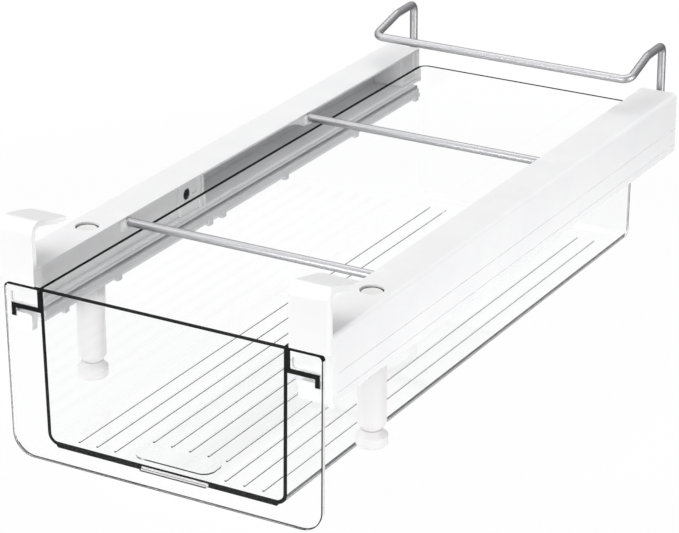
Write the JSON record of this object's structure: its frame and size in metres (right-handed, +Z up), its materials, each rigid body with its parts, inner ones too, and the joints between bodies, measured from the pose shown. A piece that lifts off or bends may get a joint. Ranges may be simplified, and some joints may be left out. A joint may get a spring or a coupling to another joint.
{
  "type": "under-shelf fridge drawer",
  "caption": "Clear pull-out drawer in white rails that hangs under a fridge shelf, with front hooks, a sprung wire bail at the back and screw-up pressure pads.",
  "frame": {"origin": "middle of the shelf seat: half-way between the rails, at the back face of the front hooks, level with the rails' tops", "axes": "+X right, +Y to the back of the fridge, +Z up"},
  "size_m": [0.185, 0.3952, 0.1269],
  "materials": {
    "white_plastic": "satin",
    "bracket_plastic": "satin",
    "runner_plastic": "satin",
    "clear_plastic": "clear gloss",
    "rod_steel": "satin",
    "zinc_steel": "zinc plated",
    "spring_steel": "plain",
    "pad_rubber": "matte"
  },
  "bodies": {
    "frame": {"left_rail": "white_plastic", "right_rail": "white_plastic", "left_front_bracket": "bracket_plastic", "right_front_bracket": "bracket_plastic", "left_bracket_screw": "zinc_steel", "right_bracket_screw": "zinc_steel", "left_runner": "runner_plastic", "right_runner": "runner_plastic", "left_rear_cap": "bracket_plastic", "right_rear_cap": "bracket_plastic", "left_clamp_housing": "bracket_plastic", "right_clamp_housing": "bracket_plastic", "left_front_rod_clip": "bracket_plastic", "right_front_rod_clip": "bracket_plastic", "left_middle_rod_clip": "bracket_plastic", "right_middle_rod_clip": "bracket_plastic", "left_bail_spring": "spring_steel", "right_bail_spring": "spring_steel", "front_cross_rod": "rod_steel", "middle_cross_rod": "rod_steel"},
    "drawer": {"drawer_bin": "clear_plastic", "front_panel": "clear_plastic"},
    "bail": {"rear_bail": "rod_steel", "left_bail_collar": "bracket_plastic", "right_bail_collar": "bracket_plastic"},
    "left_knob": {"left_clamp_knob": "bracket_plastic", "left_knob_ring": "zinc_steel"},
    "right_knob": {"right_clamp_knob": "bracket_plastic", "right_knob_ring": "zinc_steel"},
    "left_lift": {"left_clamp_screw": "zinc_steel", "left_pressure_pad": "pad_rubber"},
    "right_lift": {"right_clamp_screw": "zinc_steel", "right_pressure_pad": "pad_rubber"}
  },
  "joints": [
    {"name": "drawer_slide", "type": "slide", "parent": "frame", "child": "drawer", "axis": [0, -1, 0], "range_m": [0, 0.245]},
    {"name": "bail_pull", "type": "slide", "parent": "frame", "child": "bail", "axis": [0, 1, 0], "range_m": [0, 0.006], "stiffness_N_per_m": 300, "springref_m": -0.02, "deforming": ["left_bail_spring", "right_bail_spring"]},
    {"name": "left_knob_turn", "type": "hinge", "parent": "frame", "child": "left_knob", "pos_m": [-0.081, 0.0564, -0.0785], "axis": [0, 0, 1], "range_deg": [0, 1080]},
    {"name": "right_knob_turn", "type": "hinge", "parent": "frame", "child": "right_knob", "pos_m": [0.081, 0.0564, -0.0785], "axis": [0, 0, 1], "range_deg": [0, 1080]},
    {"name": "left_pad_lift", "type": "slide", "parent": "frame", "child": "left_lift", "axis": [0, 0, 1], "range_m": [0, 0.015]},
    {"name": "right_pad_lift", "type": "slide", "parent": "frame", "child": "right_lift", "axis": [0, 0, 1], "range_m": [0, 0.015]}
  ],
  "couplings": [
    {"joint": "left_knob_turn", "follows": "left_pad_lift", "rad_per_m": 1256.6},
    {"joint": "right_knob_turn", "follows": "right_pad_lift", "rad_per_m": 1256.6}
  ]
}
